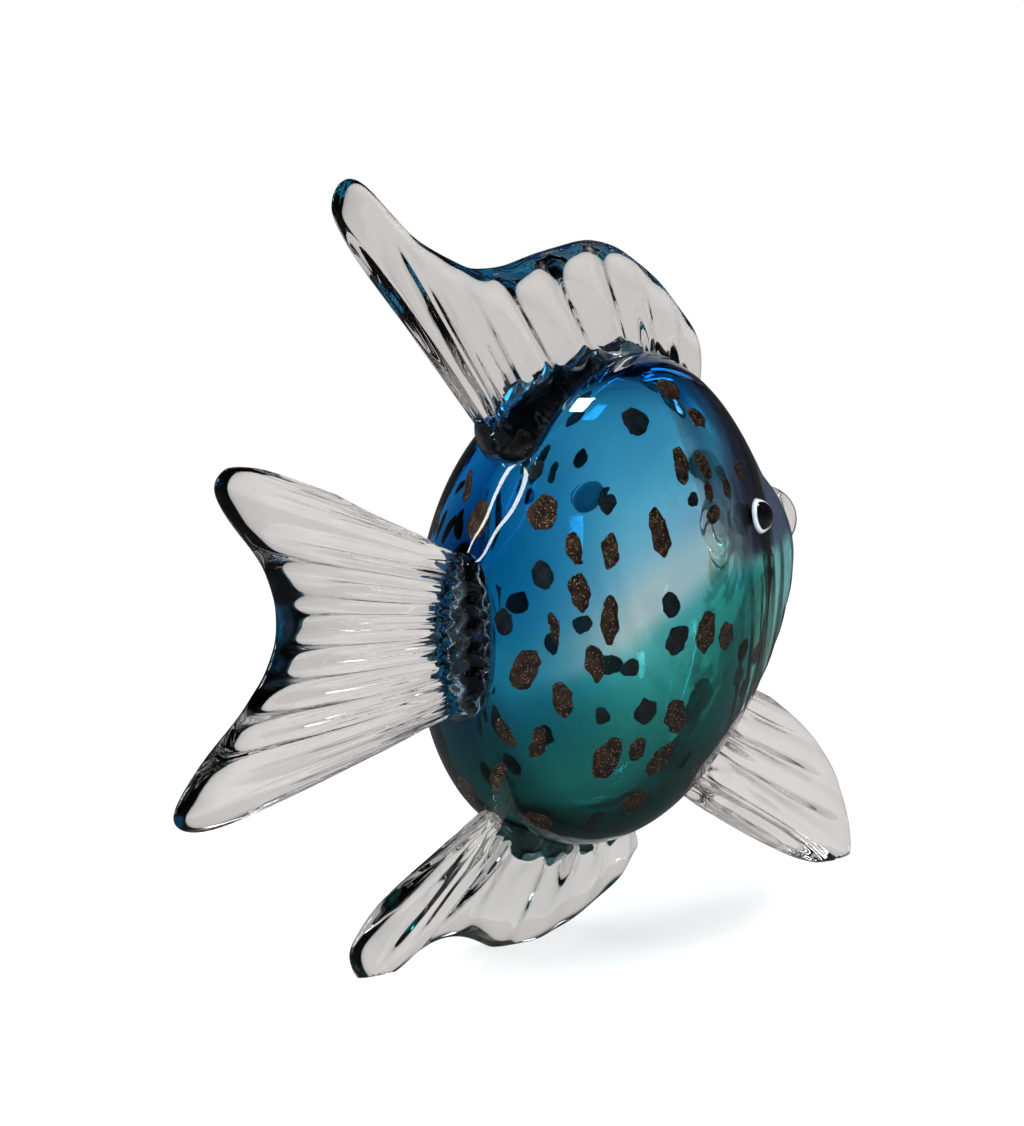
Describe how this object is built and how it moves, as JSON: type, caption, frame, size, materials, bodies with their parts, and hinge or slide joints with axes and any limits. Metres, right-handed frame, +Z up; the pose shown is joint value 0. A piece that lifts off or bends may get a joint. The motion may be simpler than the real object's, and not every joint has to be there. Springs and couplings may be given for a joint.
{
  "type": "fish figurine",
  "caption": "Hot-worked glass fish with a hollow cased body, pressed-in metallic chips, ribbed clear fins and a forked tail, standing on its lower fins.",
  "frame": {"origin": "on the ground, under the middle of the fish's bounding box", "axes": "+X towards the nose, along the fish; +Y towards its left flank; +Z up, with the ground the fish stands on at Z = 0"},
  "size_m": [0.2438, 0.0742, 0.188],
  "materials": {
    "clear_glass": "polished clear glass",
    "blue_glass": "translucent blue glass",
    "teal_glass": "translucent teal glass",
    "copper_chip": "metallic brown glass with copper grains",
    "dark_chip": "near-black glass",
    "white_glass": "opaque white glass",
    "black_glass": "opaque black glass"
  },
  "bodies": {
    "root": {"clear_casing": "clear_glass", "blue_layer": "blue_glass", "teal_layer": "teal_glass", "inner_bubble": "clear_glass", "copper_chips": "copper_chip", "dark_chips": "dark_chip", "dorsal_fin": "clear_glass", "tail_fin": "clear_glass", "anal_fin": "clear_glass", "front_fin": "clear_glass", "lips": "clear_glass", "right_eye_white": "white_glass", "left_eye_white": "white_glass", "right_pupil": "black_glass", "left_pupil": "black_glass"}
  },
  "joints": []
}
